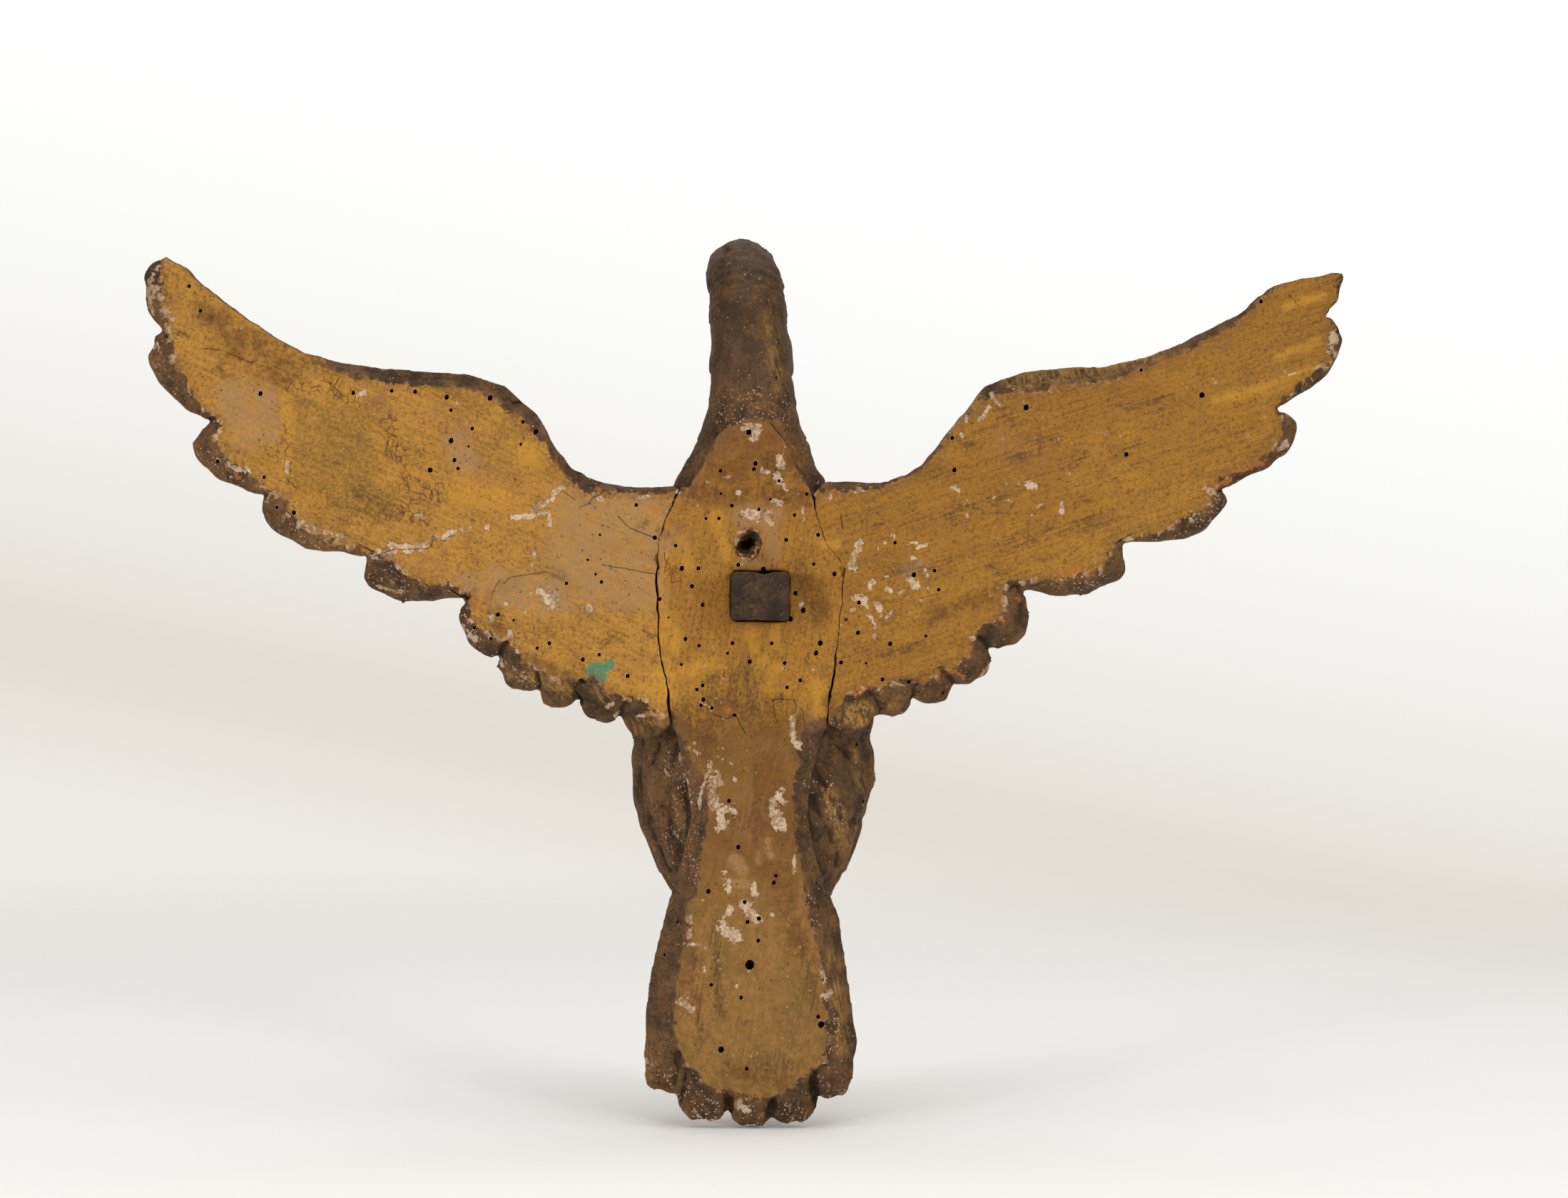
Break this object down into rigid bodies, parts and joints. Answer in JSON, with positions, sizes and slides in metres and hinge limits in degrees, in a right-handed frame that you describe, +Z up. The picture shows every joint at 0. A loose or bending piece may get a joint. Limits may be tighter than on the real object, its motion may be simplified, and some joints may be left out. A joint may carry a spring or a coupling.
{
  "type": "gilded wooden swan carving",
  "caption": "Carved wooden swan with spread wings, a neck bent down over the breast and a flat painted back with a square fixing peg.",
  "frame": {"origin": "on the flat back of the centre block, on its centreline, just below the peg", "axes": "+X across the wings, towards the right wing; +Y forward, out of the back towards the breast; +Z up, from the tail to the neck"},
  "size_m": [0.6023, 0.1347, 0.4507],
  "materials": {
    "gilded_wood": "aged ochre paint behind, worn and blackened gilding elsewhere",
    "peg_wood": "bare darkened wood"
  },
  "bodies": {
    "root": {"body": "gilded_wood", "left_wing": "gilded_wood", "right_wing": "gilded_wood", "back_peg": "peg_wood"}
  },
  "joints": []
}
